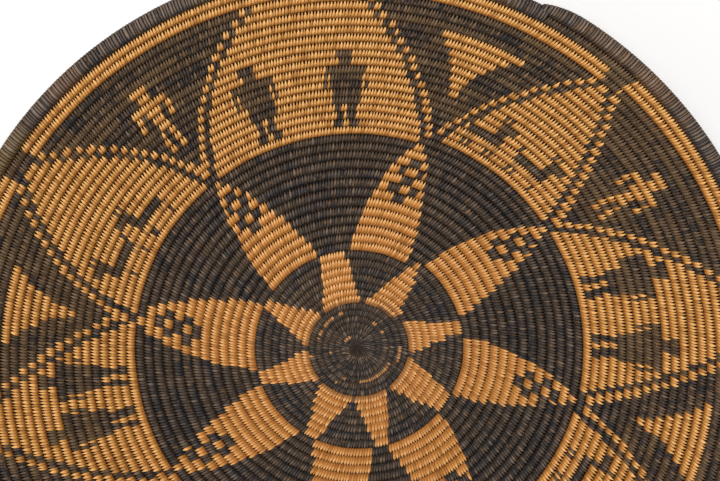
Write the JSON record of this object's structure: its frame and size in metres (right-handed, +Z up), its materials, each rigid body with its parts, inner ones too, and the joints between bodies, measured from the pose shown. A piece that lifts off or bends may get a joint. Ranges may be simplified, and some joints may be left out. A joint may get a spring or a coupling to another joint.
{
  "type": "coiled basket tray",
  "caption": "Shallow round coiled basket tray with a flat base, flaring wall, overcast rim and a light-and-dark figured spiral pattern.",
  "frame": {"origin": "middle of the tray's outline, on the plane it stands on", "axes": "+Z up, out of the dish; +X and +Y lie in the base, and the coil winds outwards anticlockwise seen from +Z"},
  "size_m": [0.4766, 0.4742, 0.0759],
  "materials": {
    "willow_splint": "satin, peeled willow splints aged to golden tan",
    "dark_splint": "satin, dark split splints, charcoal to brown"
  },
  "bodies": {
    "root": {"start_knot": "dark_splint", "coil_01": "dark_splint", "coil_02": "dark_splint", "coil_03": "dark_splint", "coil_04": "dark_splint", "coil_05": "dark_splint", "coil_06": "dark_splint", "coil_07": "willow_splint", "coil_08": "willow_splint", "coil_09": "willow_splint", "coil_10": "willow_splint", "coil_11": "willow_splint", "coil_12": "willow_splint", "coil_13": "willow_splint", "coil_14": "willow_splint", "coil_15": "willow_splint", "coil_16": "willow_splint", "coil_17": "willow_splint", "coil_18": "willow_splint", "coil_19": "dark_splint", "coil_20": "dark_splint", "coil_21": "dark_splint", "coil_22": "dark_splint", "coil_23": "dark_splint", "coil_24": "dark_splint", "coil_25": "dark_splint", "coil_26": "dark_splint", "coil_27": "willow_splint", "coil_28": "willow_splint", "coil_29": "willow_splint", "coil_30": "willow_splint", "coil_31": "willow_splint", "coil_32": "willow_splint", "coil_33": "willow_splint", "coil_34": "willow_splint", "coil_35": "willow_splint", "coil_36": "willow_splint", "coil_37": "willow_splint", "coil_38": "willow_splint", "coil_39": "willow_splint", "coil_40": "willow_splint", "coil_41": "willow_splint", "coil_42": "willow_splint", "coil_43": "willow_splint", "coil_44": "willow_splint", "coil_45": "willow_splint", "coil_46": "willow_splint", "rim_coil": "dark_splint"}
  },
  "joints": []
}
